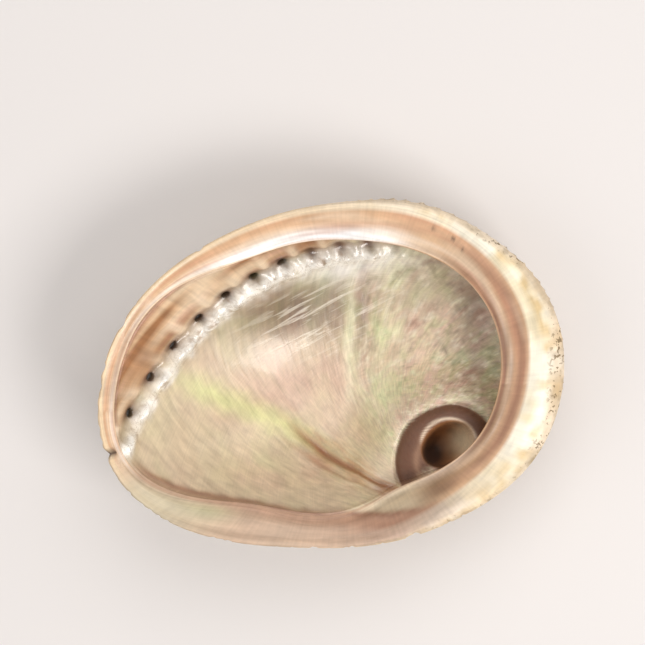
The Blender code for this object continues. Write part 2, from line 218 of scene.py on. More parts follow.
def shape_spire(x, y, z):
    """Raise the bowl's floor to the rounded ring round the spire and sink the hollow inside it."""
    radius, turn = about_spire(x, y)
    groove = around(GROOVE_RADIUS, turn)
    nearness = bell(np.clip(radius - groove, 0, None), SLOPE_WIDTH)
    reach = hollow_reach(x, y)
    inward = np.clip((groove - radius) / np.maximum(groove - 7.5, 2.0), 0, 1.4)
    ring = np.sin(math.pi / 2 * np.clip(inward / 0.72, 0, 1)) ** 0.8
    target = GROOVE_HEIGHT + (RING_HEIGHT - GROOVE_HEIGHT) * ring
    z = z + nearness * (target - z)
    z = z - 0.8 * bell(radius - groove, 0.7) * ramp(-0.6, 0.2, turn)
    bottom = HOLLOW_FLOOR + 13.0 * np.clip(reach, 0, 1.3) ** 3.2
    sunk = 1 - ramp(0.86, 1.14, reach)
    return z + sunk * (np.minimum(bottom, z) - z)


def rim_points(angle):
    """Radius and height of the points that the rim's cross-section runs through, bowl side first."""
    line = around(OUTLINE, angle)
    edge = line - around(EDGE_IN, angle)
    edge_up = around(EDGE_UP, angle)
    band = line - around(BAND_IN, angle)
    band_up = around(BAND_UP, angle)
    crest = line - around(CREST_IN, angle)
    crest_up = around(CREST_UP, angle)
    side = line - around(SIDE_IN, angle)
    side_up = around(SIDE_UP, angle)
    over = np.clip(around(OVERHANG, angle), 0, 1)
    shelf_up = 0.45 * edge_up + 0.55 * band_up + 0.5 * over
    belly = 0.35 * crest_up + 0.65 * side_up
    return (
        (edge + 0.9 * over - 0.5 * (1 - over), edge_up - 1.3 * over - 0.5 * (1 - over)),
        (edge - 0.15 * (1 - over), edge_up - 0.6 * over - 0.2 * (1 - over)),
        (edge + 0.8, edge_up),
        (0.5 * edge + 0.5 * band, shelf_up),
        (band, band_up),
        (crest, crest_up),
        (line - 0.15, 0.75 * crest_up + 0.25 * side_up - 0.2),
        (0.5 * line + 0.5 * side, belly),
        (side, side_up),
    )


def shell_section(angle, station):
    """Radius and height of the section at an angle.

    Stations run 0 to 1 over the bowl, 1 to 2 up the wall under the shelf, 2 to 10 over the rim (3 is the
    shelf's free edge, 6 the band, 7 the crest, 8 the outline) and 10 to 11 over the back.
    """
    points = rim_points(angle)
    widest = around(OUTLINE, angle) - around(WIDEST_IN, angle)
    widest_up = around(WIDEST_UP, angle)
    side, side_up = points[-1]
    form = around(BOWL_FORM, angle)

    reach = widest * np.sin(math.pi / 2 * np.clip(station, 0, 1))
    level = hollow(angle, reach, widest, widest_up, INNER_DEPTH, form, BOWL_MIDDLE)
    level = shape_spire(CENTRE[0] + reach * np.cos(angle), CENTRE[1] + reach * np.sin(angle), level)
    under = points[0][1] - 0.6
    level = np.where(reach > 0.9 * widest, np.minimum(level, under), level)
    start = shape_spire(CENTRE[0] + widest * np.cos(angle), CENTRE[1] + widest * np.sin(angle), widest_up)
    start = np.minimum(start, under)

    swing = math.pi / 2 * np.clip(station - 1, 0, 1)
    wall_radius = points[0][0] + (widest - points[0][0]) * np.cos(swing)
    wall_height = start + (points[0][1] - start) * np.sin(swing)
    radius = np.where(station <= 1, reach, wall_radius)
    height = np.where(station <= 1, level, wall_height)

    form = around(BACK_FORM, angle)
    before = (0.5 * widest + 0.5 * points[0][0], start + 0.87 * (points[0][1] - start))
    after = (0.985 * side, hollow(angle, 0.985 * side, side, side_up, OUTER_DEPTH, form, BACK_MIDDLE))
    chain = (before,) + points + (after,)
    for k in range(1, len(chain) - 2):
        here = (station > k + 1) & (station <= k + 2)
        t = np.clip(station - k - 1, 0, 1)
        step = []
        for j in (-1, 0, 1):
            run = chain[k + j + 1][0] - chain[k + j][0]
            climb = chain[k + j + 1][1] - chain[k + j][1]
            step.append(np.hypot(run, climb) + 1e-6)
        for target, axis in ((radius, 0), (height, 1)):
            p = [chain[k + j][axis] for j in (-1, 0, 1, 2)]
            slope = [(p[j + 1] - p[j]) / step[j] for j in (0, 1, 2)]
            first = (slope[0] * step[1] + slope[1] * step[0]) / (step[0] + step[1]) * step[1]
            last = (slope[1] * step[2] + slope[2] * step[1]) / (step[1] + step[2]) * step[1]
            curve = (2 * t**3 - 3 * t**2 + 1) * p[1] + (t**3 - 2 * t**2 + t) * first
            curve = curve + (3 * t**2 - 2 * t**3) * p[2] + (t**3 - t**2) * last
            np.copyto(target, curve, where=here)

    back = station > 10
    reach = side * np.cos(math.pi / 2 * np.clip(station - 10, 0, 1))
    level = hollow(angle, reach, side, side_up, OUTER_DEPTH, form, BACK_MIDDLE)
    away, _ = about_spire(CENTRE[0] + reach * np.cos(angle), CENTRE[1] + reach * np.sin(angle))
    radius = np.where(back, reach, radius)
    height = np.where(back, level - SPIRE_RISE * bell(away, SPIRE_WIDTH), height)
    return radius, height


def stations():
    """Stations of the rings between the two poles."""
    floor = [(k + 1) / FLOOR_RINGS for k in range(FLOOR_RINGS)]
    wall = [1 + (k + 1) / WALL_RINGS for k in range(WALL_RINGS)]
    rim = [2 + 8 * (k + 1) / RIM_RINGS for k in range(RIM_RINGS)]
    back = [10 + (k + 1) / (BACK_RINGS + 1) for k in range(BACK_RINGS)]
    return np.array([0] + floor + wall + rim + back + [11], float)


# ---- Growth ----


def growth(x, y):
    """Growth coordinates of a point: age behind the present lip, and place across the whorl, in radians.

    The shell grows by turning and swelling about its spire, so every growth line is the lip's own line,
    turned and shrunk, and every thread on the shell is one spiral.
    """
    radius, turn = about_spire(x, y)
    across = np.log(np.maximum(radius, 1.0)) / PORE_GROWTH - turn
    return np.interp(across, LIP_ACROSS, LIP_TURN) - turn, across


def pore_line(turn):
    """Radius from the spire of the spiral that the pores stand on."""
    return PORE_RADIUS * np.exp(PORE_GROWTH * (turn - math.radians(PORE_FIRST)))


def pore_spot(number):
    """Position of a pore, in plan."""
    turn = math.radians(PORE_FIRST - PORE_STEP * number)
    radius = float(pore_line(turn))
    return SPIRE[0] + radius * math.cos(turn), SPIRE[1] + radius * math.sin(turn), turn


class Skin:
    """The shell's skin as arrays: one entry for each vertex."""

    def __init__(self, angle, station, place):
        self.angle = angle
        self.station = station
        self.place = place
        self.x, self.y, self.z = place.T
        self.spire_radius, self.turn = about_spire(self.x, self.y)
        self.age, self.across = growth(self.x, self.y)
        self.line = around(OUTLINE, angle)
        self.inset = self.line - np.hypot(self.x - CENTRE[0], self.y - CENTRE[1])


# ---- Relief, in millimetres along the skin's normal ----


def rough(points, seed):
    """Smooth noise between -1 and 1 at an array of points."""
    shift = Vector((seed * 7.3, seed * 3.1, seed * 5.7))
    return np.array([noise.noise(Vector(p) + shift) for p in points])


def pore_phase(turn):
    """Place along the pore row, counted in pores from the youngest."""
    return (PORE_FIRST - np.degrees(turn)) / PORE_STEP


def floor_height(x, y):
    """Height of the bowl's floor at a point."""
    dx, dy = np.array([x - CENTRE[0]]), np.array([y - CENTRE[1]])
    angle, radius = np.arctan2(dy, dx), np.hypot(dx, dy)
    widest = around(OUTLINE, angle) - around(WIDEST_IN, angle)
    form, height = around(BOWL_FORM, angle), around(WIDEST_UP, angle)
    return float(hollow(angle, np.minimum(radius, widest), widest, height, INNER_DEPTH, form, BOWL_MIDDLE)[0])


def pore_frame(number):
    """Frame of a pore: X along the row, Z square to the wall and into the bowl."""
    x, y, turn = pore_spot(number)
    slope_x = floor_height(x + 0.5, y) - floor_height(x - 0.5, y)
    slope_y = floor_height(x, y + 0.5) - floor_height(x, y - 0.5)
    up = Vector((-slope_x, -slope_y, 1)).normalized()
    outward = Vector((math.cos(turn), math.sin(turn), 0))
    along = Vector((-math.sin(turn), math.cos(turn), 0)) + PORE_GROWTH * outward
    along = (along - up * along.dot(up)).normalized()
    frame = Matrix((along, up.cross(along), up)).transposed().to_4x4()
    frame.translation = Vector((x, y, floor_height(x, y)))
    return frame


def near_axis(spots, number):
    """Distance of points from a pore's axis, as a share of the pore's size."""
    back = np.array(pore_frame(number).inverted())
    local = spots @ back[:3, :3].T + back[:3, 3]
    return np.hypot(local[:, 0] / PORE_LENGTH, local[:, 1] / PORE_WIDTH)


def near_pores(skin):
    """1 along the stretch of the whorl that shows its pores, fading out towards the oldest."""
    count = pore_phase(skin.turn)
    return ramp(-0.9, 0.1, count) * (1 - ramp(9.5, 12.5, count))


def lip_line(skin):
    """Distance outside the line where the growing lip's flare meets the bowl."""
    return around(FLARE_IN, skin.angle) - skin.inset


def pore_relief(skin):
    """A trench along the pores, a boss on its inner side beside each (its brightness is a painted highlight),
    and ribs up to the ridge.
    """
    off = skin.spire_radius - pore_line(skin.turn)
    count = pore_phase(skin.turn)
    phase = count - np.rint(count)
    wobble = 0.5 * rough(np.c_[skin.x, skin.y, skin.z] * 0.25, 4)
    crumple = rough(np.c_[skin.x, skin.y, skin.z] * 0.55, 14)
    row = near_pores(skin)
    boss = BOSS * bell(phase - 0.06, 0.24) * bell(off + 2.7 + wobble, 1.5)
    bank = BANK * (1 + 0.5 * crumple) * bell(off + 3.4 + 1.5 * wobble, 1.5)
    saddle = SADDLE * bell(np.abs(phase) - 0.5, 0.13) * bell(off + 1.0, 2.0)
    trench = -TRENCH * bell(off - 0.1 + wobble, 1.3)
    rib = RIB * bell(np.abs(phase) - 0.46, 0.12) * ramp(0.2, 1.6, off) * (1 - ramp(3.5, 8.0, off))
    funnel = -FUNNEL * bell(phase, 0.17) * bell(off, 1.5)
    thick = ramp(2.0, 6.5, skin.inset)
    return row * thick * (boss + bank + saddle + trench + rib + funnel)


def bowl_relief(skin):
    """Folds and ripples left in the nacre by earlier lips, and the groove behind the present one."""
    drift = rough(np.c_[skin.x, skin.y, skin.z] * 0.055, 1)
    fine = rough(np.c_[skin.x, skin.y, skin.z] * 0.16, 2)
    inner = 1 - ramp(0, 3.0, skin.spire_radius - pore_line(skin.turn))
    far = ramp(14, 24, skin.spire_radius)
    ripple = 0.08 * np.sin(skin.age * 36 + 3.2 * drift) + 0.05 * np.sin(skin.age * 83 + 5.0 * fine)
    ripple = ripple * (0.25 + 0.75 * ramp(0.9, 1.5, skin.age))
    fold_place = skin.age - FOLD_AGE - 0.03 * drift
    reach = (1 - ramp(32, 48, skin.spire_radius)) * ramp(13, 18, skin.spire_radius)
    rise, sink = FOLD_RISE * bell(fold_place + 0.03, 0.03), FOLD_SINK * bell(fold_place - 0.035, 0.03)
    fold = reach * (rise - sink)
    low = ramp(math.radians(186), math.radians(204), skin.turn) + (skin.turn < math.radians(-20))
    fold = fold * (1 - ramp(0.72, 0.9, skin.station))
    groove = -GROOVE * bell(lip_line(skin) + 0.3 * drift, 0.75) * np.clip(low, 0, 1)
    return inner * far * ripple + fold + groove


def shelf_relief(skin):
    """Low folds along the shelf."""
    drift = rough(np.c_[skin.x, skin.y, skin.z] * 0.09, 3)
    degrees = np.degrees(skin.angle) % 360
    lip = ramp(196, 214, degrees) * (1 - ramp(268, 282, degrees))
    wave = 0.12 * np.sin(skin.inset * 1.9 + 2.5 * drift) * (1 - lip) + 0.10 * drift
    return wave * bell(skin.station - 5.2, 1.6) - 0.25 * lip * bell(skin.station - 3.2, 0.6)


def back_relief(skin):
    """Growth steps, spiral threads, raised pores and a weathered crust on the outside."""
    solid = np.c_[skin.x, skin.y, skin.z]
    drift = rough(solid * 0.05, 5)
    crust = rough(solid * 0.45, 6)
    grain = rough(solid * 1.1, 7)
    place = skin.age * GROWTH_STEPS + 1.2 * drift
    steps = STEP_HEIGHT * (place - np.floor(place)) ** 3
    threads = THREAD_HEIGHT * np.abs(np.sin(skin.across * THREADS + 0.8 * drift))
    threads = threads * ramp(8, 20, skin.spire_radius)
    row = near_pores(skin)
    keel = KEEL * bell(skin.spire_radius - pore_line(skin.turn) - 2.0, 4.0) * row
    tube = sum(TUBE * bell(near_axis(solid, number), 1.0) for number in range(1, OPEN_PORES))
    whorl = np.sin(2 * (skin.turn - np.log(np.maximum(skin.spire_radius, 0.6)) / PORE_GROWTH / 2))
    spire = WHORL * whorl * bell(skin.spire_radius - 5, 4.5)
    relief = steps * (0.7 + 0.6 * drift) + threads + keel + tube + spire + CRUST * crust + GRAIN * grain
    return np.maximum(relief, OUTSIDE_LOWEST) + OUTSIDE_SKIN


def youngest_notch(skin):
    """1 in the middle of the notch that the youngest pore makes in the margin."""
    across = bell(np.degrees(skin.angle) % 360 - NOTCH_ANGLE, NOTCH_SPREAD)
    return across * ramp(4.4, 6.0, skin.station) * (1 - ramp(9.0, 9.9, skin.station))


def edge_chips(skin):
    """Small chips that take the thin growing edge back."""
    edge = np.c_[skin.x * 0.35, skin.y * 0.35, skin.x * 0]
    chips = np.clip(rough(edge, 8) + 0.8 * rough(edge * 2.3, 9) - 0.15, 0, 1)
    thin = ramp(110, 150, np.degrees(skin.angle) % 360) * (1 - ramp(300, 330, np.degrees(skin.angle) % 360))
    return thin * chips * CHIP_DEPTH * bell(skin.station - 7.8, 1.0) + NOTCH_DEPTH * youngest_notch(skin)


# ---- Colour ----


def linear(code, alpha=1.0):
    """Linear colour of an sRGB hex code."""
    parts = [int(code[k : k + 2], 16) / 255 for k in (1, 3, 5)]
    return tuple(p / 12.92 if p <= 0.04045 else ((p + 0.055) / 1.055) ** 2.4 for p in parts) + (alpha,)


class Paint:
    """A colour for each vertex, laid on in washes."""

    def __init__(self, skin, code):
        self.colour = np.tile(linear(code), (len(skin.x), 1))

    def wash(self, code, share):
        """Lay a colour over a share of what is there."""
        share = np.clip(share, 0, 1)[:, None]
        self.colour = self.colour * (1 - share) + np.array(linear(code)) * share


def patch(skin, x, y, length, width, turn=0.0):
    """A soft oval patch seen in plan."""
    turn = math.radians(turn)
    along = (skin.x - x) * math.cos(turn) + (skin.y - y) * math.sin(turn)
    across = -(skin.x - x) * math.sin(turn) + (skin.y - y) * math.cos(turn)
    return np.exp(-((along / length) ** 2) - (across / width) ** 2)


NACRE_PATCHES = (  # colour, middle, half-length and half-width, degrees of turn, share
    ("#d3bca4", 0, 0, 30, 20, 0, 0.6),
    ("#d5b5a2", -14, -3, 22, 9, 8, 0.9),  # pink heart of the bowl
    ("#dfc0aa", 4, -12, 8, 5, -30, 0.5),
    # These three patches are painted shade: the bowl below the old pores is made darker, as where it reflects
    # little light.
    ("#715c46", -9, 18.5, 18, 7.5, 14, 1.0),  # darker brown-grey below the old pores: painted shade and dark reflection
    ("#7d6851", 2, 19, 8, 8, 0, 0.9),
    ("#75624b", -13, 19, 13, 6, 20, 0.8),
    ("#a3a582", 27, 24, 9, 7, -25, 0.6),
    ("#fffffa", 7, 31, 16, 4, 3, 1.0),  # painted highlight, near-white, under the far shelf
    ("#e3beae", 27, 2, 3.6, 10, 4, 0.85),
    ("#e2c0ac", 34, 16, 3, 7, 45, 0.6),
    ("#a28b74", 42, 2, 7, 13, 4, 0.95),
    ("#9a876f", 40, 20, 4, 10, 35, 0.7),
    ("#a5856d", 27, -9, 9, 3.5, 28, 0.7),
    ("#d4dc98", -33, -7, 12, 3.5, -28, 0.8),  # green towards the growing edge
    ("#d0d58b", -16, -14, 16, 3.5, -28, 0.8),
    ("#c6c478", -4, -22, 7, 2.6, -40, 0.8),
    ("#d8bba4", -40, -20, 12, 5, -35, 0.5),
    ("#c9b896", -28, -19, 18, 5, -16, 0.6),
    ("#ccb698", -28, -27, 22, 4, -14, 0.6),  # beige low in the bowl
    ("#c9ad91", -4, -31, 18, 3.5, -6, 0.6),
    ("#c9b48f", 12, -16, 10, 6, -35, 0.5),
)
GROWTH_BANDS = (  # bands that follow the growth lines: pale, dark, green, pink
    ("#f1ebcc", 6.0, 9, 1.7, 17, -2, 0.95),
    ("#66533e", 9.6, 17, 2.0, 12, -2, 1.0),
    ("#d3dcab", 15.5, 4, 3.6, 20, -4, 0.7),
    ("#a39a7d", 13.4, 17, 0.9, 11, -4, 0.7),
    ("#ddd7b2", 20, 12, 2.6, 16, -6, 0.5),
    ("#a99c80", 22.6, 20, 1.0, 10, -8, 0.7),
    ("#b7b192", 27, 23, 5, 4, -20, 0.7),
    ("#98886f", 31.5, 25, 1.2, 8, -20, 0.7),
    ("#dab9a6", 27, 2, 2.2, 9, 4, 0.7),
    ("#f4f0cf", 15, -8, 7, 6, 0, 0.85),
    ("#7d5d40", 30, -32.5, 9, 3.4, 12, 1.0),
)
SMALL_MARKS = (  # specks on the shelf and one scratch: middle, half-length and half-width, degrees of turn
    (28.8, 40.7, 0.5, 0.5, 0),
    (34.1, 37.4, 0.45, 0.45, 0),
    (36.6, 34.3, 0.4, 0.4, 0),
    (32.4, 7.5, 3.2, 0.35, -58),
    (37.0, 3.0, 0.6, 0.35, -30),
)


class Places:
    """Where the shell's parts are, each as a share from 0 to 1, and how its colours drift."""

    def __init__(self, skin):
        solid = np.c_[skin.x, skin.y, skin.z]
        none = 0 * skin.age
        self.drift = rough(solid * 0.07, 11)
        self.fine = rough(solid * 0.3, 12)
        self.crisp = rough(solid * 0.62, 22)
        self.blocks = rough(np.c_[skin.age * 13.0, skin.across * 4.0, none], 16)
        self.small = rough(np.c_[skin.age * 30.0, skin.across * 12.0, none], 20)
        self.degrees = np.degrees(skin.angle) % 360
        self.right = np.clip(1.3 * bell((self.degrees + 180) % 360 - 180 - 12, 62), 0, 1)
        self.far = 1 - self.right

        # In the bowl: the whole of it, its older part, the pore row, the bank and the wall on its two sides.
        self.inside = 1 - ramp(2.6, 3.2, skin.station)
        self.old = ramp(1.08, 1.4, skin.age) * self.inside
        self.off = skin.spire_radius - pore_line(skin.turn)
        self.count = pore_phase(skin.turn)
        self.phase = self.count - np.rint(self.count)
        self.row = near_pores(skin)
        joined = 0.35 + 0.65 * ramp(2.0, 5.5, self.count)
        bank = self.row * bell(self.off + 2.9 + 1.2 * self.fine, 1.4 + 1.0 * joined)
        self.bank = bank * np.clip(joined + 1.2 * bell(self.phase - 0.06, 0.27), 0, 1)
        wall = ramp(-0.2, 1.6, self.off) * (1 - ramp(196, 206, self.degrees))
        self.wall = wall * ramp(90, 105, self.degrees) * (skin.station < 3)

        # The growing lip and its flare.
        self.behind = lip_line(skin) + 0.3 * self.drift
        low = np.clip(ramp(196, 206, self.degrees) + (self.degrees < 100), 0, 1)
        self.lip = low * (self.degrees > 190)
        self.flare = low * ramp(-0.2, 2.0, self.behind) * (skin.station < 9)

        # The ring round the spire and the hollow in it.
        self.ring_in = skin.spire_radius - around(GROOVE_RADIUS, skin.turn)
        ring = self.inside * (1 - ramp(-0.3, 0.5, self.ring_in))
        self.ring = ring * (1 - ramp(215, 245, np.degrees(skin.turn)))
        self.deep = self.inside * (1 - ramp(0.93, 1.08, hollow_reach(skin.x, skin.y)))

        # The shelf, with the way across it from 0 at its free edge to 1, and the back.
        shelf = ramp(2.5, 3.0, skin.station) * (1 - ramp(5.86, 6.04, skin.station))
        self.shelf = shelf * np.clip(1 - ramp(192, 206, self.degrees) + ramp(296, 318, self.degrees), 0, 1)
        self.wide = (skin.station - 3) / 3 + 0.05 * self.drift
        worn = self.right * ramp(6.9 + 0.6 * self.drift, 7.5 + 0.6 * self.drift, skin.station)
        self.back = np.maximum(ramp(7.9, 8.9, skin.station), worn)


def paint_nacre(paint, skin, at):
    """Soft patches, rose and green lights in bands along the growth lines, and light and dark blocks."""
    for code, x, y, length, width, turn, share in NACRE_PATCHES:
        paint.wash(code, share * patch(skin, x + 2.0 * at.drift, y + 1.5 * at.fine, length, width, turn))
    banded = rough(np.c_[skin.age * 7.0, skin.across * 1.2, 0 * skin.age], 15)
    lively = at.inside * (0.15 + 0.2 * at.old)
    paint.wash("#e3b4a8", lively * np.clip(1.6 * banded - 0.05, 0, 1))
    paint.wash("#c9d6a0", lively * np.clip(-1.6 * banded - 0.10, 0, 1))
    paint.wash("#7f6f5a", at.old * 0.70 * np.clip(2.6 * at.blocks + 1.8 * at.small - 0.5, 0, 1))
    paint.wash("#f3efd8", at.old * 0.60 * np.clip(-2.6 * at.blocks - 1.8 * at.small - 0.4, 0, 1))
    for code, x, y, length, width, turn, share in GROWTH_BANDS:
        band = patch(skin, x + 0.6 * at.small + 0.4 * at.drift, y, length, width, turn)
        paint.wash(code, share * at.inside * band * (0.8 + 0.5 * at.small))


def paint_bank_highlight(paint, at):
    """Painted highlight: the bank inside the pores painted near-white as a pearly sheen, broken by brown."""
    paint.wash("#fffcf4", at.bank * (1.25 + 0.8 * at.fine + 0.8 * at.crisp))
    paint.wash("#9c7d5a", at.row * np.clip(2.6 * at.crisp - 0.5, 0, 1) * bell(at.off + 2.6, 2.4) * 0.75)


def paint_wall(paint, skin, at):
    """The wall outside the pores: orange brown, streaked along the whorl, dark in its folds and brown round
    its pores, with painted shade in the pores.
    """
    streaks = rough(np.c_[at.off * 0.42, at.count * 0.35, 0 * at.off], 17)
    finer = rough(np.c_[at.off * 1.1, at.count * 0.6, 0 * at.off], 18)
    paint.wash("#dcb993", at.wall)
    paint.wash("#9c683d", at.wall * 0.95 * np.clip(2.2 * streaks + 0.15, 0, 1))
    paint.wash("#f6e3c8", at.wall * 0.85 * np.clip(-2.0 * streaks - 0.1, 0, 1))
    paint.wash("#8c5c36", at.wall * 0.85 * bell(skin.station - 2.0, 0.6) * ramp(130, 150, at.degrees))
    paint.wash("#d9a793", at.wall * 0.5 * np.clip(finer * 1.6, 0, 1))
    paint.wash("#6b4122", at.row * bell(at.off - 0.4, 1.5) * (0.4 + 0.6 * bell(at.phase, 0.25)))
    # Painted shade: near-black at the middle of each pore, where the hole is dark.
    paint.wash("#4a2a14", at.row * bell(at.off, 1.3) * bell(at.phase, 0.13) * ramp(0.3, 1.0, at.count))
    rib = bell(np.abs(at.phase) - 0.46, 0.12) * (1 - ramp(3.0, 6.5, at.off))
    paint.wash("#f5dfc2", at.wall * at.row * 0.8 * rib)


def paint_lip(paint, skin, at):
    """The fold of an old lip, the brown line behind the present one, and its flare."""
    fold = skin.age - FOLD_AGE - 0.03 * at.drift
    reach = (1 - ramp(34, 52, skin.spire_radius)) * ramp(11, 15, skin.spire_radius) * at.inside
    fan = rough(np.c_[skin.age * 26.0, skin.across * 1.5, 0 * skin.age], 21)
    paint.wash("#b98a60", reach * bell(fold - 0.02, 0.13) * np.clip(0.35 + 1.5 * fan, 0, 0.9))
    paint.wash("#945f35", reach * (1.0 * bell(fold - 0.02, 0.045) + 0.6 * bell(fold + 0.08, 0.02)))
    paint.wash("#c6a58c", at.flare * 0.95)
    paint.wash("#cfb49b", at.flare * 0.7 * bell(at.degrees - 245, 14))
    paint.wash("#d0c4a6", at.flare * 0.9 * bell(at.degrees - 211, 14))
    paint.wash("#b4b88c", at.flare * 0.5 * bell(at.degrees - 222, 6) * bell(at.behind - 6, 3))
    paint.wash("#9a6c55", at.flare * 0.8 * bell(at.degrees - 290, 16))
    paint.wash("#8d614a", at.lip * 0.9 * bell(at.behind - 0.6 + 0.5 * at.fine, 1.0))
    paint.wash("#b0866c", at.lip * 0.7 * bell(at.behind - 2.2, 1.8))
    paint.wash("#b38f74", at.lip * 0.7 * bell(skin.station - 3.0, 0.6))


def paint_spire(paint, skin, at):
    """Brown round the spire, a painted highlight along the upper edge of the hollow's mouth, and in the
    hollow painted shade on one side and cream on the other.
    """
    paint.wash("#704832", at.ring * 0.97)
    paint.wash("#53301b", at.ring * 0.45 * bell(at.ring_in + 3.0, 2.2))
    paint.wash("#6a4029", at.ring * 0.6 * np.clip(2 * at.blocks, 0, 1))
    paint.wash("#b08a6c", at.ring * bell(at.ring_in + 6.2, 1.0) * 0.4)
    # Painted highlight: a pale line only along the upper edge of the hollow's mouth.
    mouth = bell(skin.spire_radius - 8.0, 0.45) * ramp(0, 0.4, np.sin(skin.turn))
    paint.wash("#eed9c0", at.ring * mouth * 0.8)
    paint.wash("#a86f40", at.deep)
    paint.wash("#7a4a24", at.deep * np.clip(2 * at.fine, 0, 1) * 0.8)
    # Painted shade: near-black on one side inside the hollow.
    paint.wash("#351a0a", at.deep * 1.2 * patch(skin, 29.5, -23.5, 4.6, 4.6))
    paint.wash("#f6e4c0", at.deep * patch(skin, 38.0, -19.5, 3.2, 4.6))


def paint_shelf(paint, skin, at):
    """The shelf, in bands that run along it: orange edge, lilac, brown; on the far side a painted white
    highlight, and tan.
    """
    grain = rough(np.c_[skin.station * 2.6, skin.angle * 2.2, 0 * at.off], 19) * (1 - 0.7 * at.lip)
    strong = at.right * (1 - 0.55 * ramp(28, 60, at.degrees) * (at.degrees < 180))
    lit = ramp(62, 80, at.degrees) * (1 - ramp(125, 150, at.degrees))
    paint.wash("#e2bd96", at.shelf)
    paint.wash("#bf8a5a", at.shelf * bell(at.wide - 0.02, 0.05) * 0.9)
    paint.wash("#90664d", at.shelf * strong * bell(at.wide - 0.32, 0.17))
    paint.wash("#ecd8c6", at.shelf * at.right * bell(at.wide - 0.50, 0.035) * 0.8)
    paint.wash("#a2765b", at.shelf * strong * bell(at.wide - 0.78, 0.20))
    # Painted highlight: white bands near the shelf's free edge on the far side, brightest over the stretch
    # that is lit.
    paint.wash("#fffdf6", at.shelf * at.far * bell(at.wide - 0.26, 0.20) * 0.6)
    paint.wash("#ffffff", at.shelf * lit * 1.3 * bell(at.wide - 0.36, 0.21))
    paint.wash("#c4936b", at.shelf * at.far * (1 - at.lip) * bell(at.wide - 0.9, 0.22) * 0.6)
    paint.wash("#c48a6c", at.shelf * 0.5 * np.clip(2.2 * grain - 0.1, 0, 1))
    paint.wash("#f5ddc0", at.shelf * 0.5 * np.clip(-2.2 * grain - 0.1, 0, 1))
    for x, y, length, width, turn in SMALL_MARKS:
        paint.wash("#4f3c28", 1.3 * (skin.station < 7) * patch(skin, x, y, length, width, turn))


def paint_rim(paint, skin, at):
    """The rounded rim: smooth cream at the spire side, thin and tan at the growing side, golden outside."""
    rim = ramp(5.86, 6.04, skin.station) * (1 - ramp(8.4, 9.2, skin.station))
    golden_edge = ramp(6.3, 7.1, skin.station) * np.clip(1.8 * at.fine + at.drift, 0, 1)
    paint.wash("#e6cba6", rim * at.far * (1 - at.lip))
    paint.wash("#fff9e6", rim * at.right)
    paint.wash("#f0dcae", rim * at.right * 0.6 * np.clip(2 * at.drift + at.fine, 0, 1))
    paint.wash("#d9b87c", rim * at.right * 0.8 * golden_edge)

    # Brown shadows on the wall by the margin and on the shelf below the hollow.
    by_margin = bell(at.degrees - 172, 13) * bell(at.wide - 0.25, 0.35)
    below_hollow = patch(skin, 30, -32, 7, 2.6, 35) * (skin.station > 2.6) * (skin.station < 6)
    paint.wash("#ab7f5a", at.shelf * at.far * by_margin * 0.8)
    paint.wash("#ffe9cb", at.wall * 0.6 * patch(skin, -36, 23, 7, 4, 45))
    paint.wash("#a06f46", at.wall * 0.8 * patch(skin, -53, 3, 9, 3.2, 58))
    paint.wash("#7f5a3c", below_hollow * 0.7)

    # A painted highlight along the ridge above the pores, and the thin growing edge with painted shade in its
    # notch.
    ridge = bell(skin.station - 3.0, 0.22) * ramp(120, 140, at.degrees) * (1 - ramp(184, 196, at.degrees))
    edge = bell(skin.station - 7.9, 0.45) * (at.degrees > 130) * (at.degrees < 320)
    paint.wash("#f6dfc0", ridge * 0.8)
    paint.wash("#e9cf9f", edge * 0.9)
    paint.wash("#b48a55", edge * 0.8 * np.clip(2.5 * at.fine, 0, 1))
    paint.wash("#4a311c", 1.2 * youngest_notch(skin))


def paint_back(paint, skin, at):
    """The back: chalky cream with tan bands that follow growth, stained brown in places."""
    bands = np.clip(np.sin(skin.age * 9.5 + 1.8 * at.drift + 0.8 * at.fine), 0, 1)
    rays = np.sin(skin.across * 26 + 1.6 * at.drift)
    golden = rough(np.c_[skin.age * 5.0, skin.across * 3.0, 0 * at.off], 23)
    paint.wash("#eedcc2", at.back)
    paint.wash("#d8bf99", at.back * bands * 0.55)
    paint.wash("#c9a873", at.back * np.clip(2.4 * golden - 0.3, 0, 1) * 0.7)
    paint.wash("#f7efe0", at.back * np.clip(-2.4 * golden - 0.2, 0, 1) * 0.8)
    paint.wash("#cdb592", at.back * np.clip(rays, 0, 1) * 0.35)
    paint.wash("#8f7a55", at.back * np.clip(at.fine * 1.8 - 0.6, 0, 1) * 0.5)


def paint_shell(skin, at):
    """Broad colours of the whole skin, each part painted over the ones before."""
    paint = Paint(skin, "#d4c2a4")
    paint_nacre(paint, skin, at)
    paint_bank_highlight(paint, at)
    paint_wall(paint, skin, at)
    paint_lip(paint, skin, at)
    paint_spire(paint, skin, at)
    paint_shelf(paint, skin, at)
    paint_rim(paint, skin, at)
    paint_back(paint, skin, at)
    return paint.colour


def finish_shell(skin, at):
    """What the finish is like, as pearl, crust and streakiness, and where the creases and crumples are."""
    pearl = (1 - 0.35 * at.shelf) * (1 - ramp(6.2, 8.0, skin.station)) * (1 - 0.9 * at.deep)
    pearl = pearl * (1 - 0.35 * at.wall) * (1 - 0.85 * at.lip * bell(skin.station - 3.0, 0.9))
    pearl = pearl * (1 - 0.5 * at.flare) * (1 - 0.95 * at.ring) + 0.3 * at.bank * (1 - at.wall)
    plain = np.maximum.reduce([at.deep, at.wall, 0.9 * at.flare, at.ring, np.clip(at.bank, 0, 1)])
    streaky = at.inside * (1 - plain) * (0.35 + 0.65 * at.old)
    creased = at.inside * np.clip(1.5 * patch(skin, -2, 16, 22, 10, 14) - 0.2, 0, 1)
    crumpled = at.row * bell(at.off + 3.0, 2.2)
    none, full = np.zeros(len(skin.x)), np.ones(len(skin.x))
    return np.c_[pearl, at.back, streaky, full], np.c_[creased, crumpled, none, full]


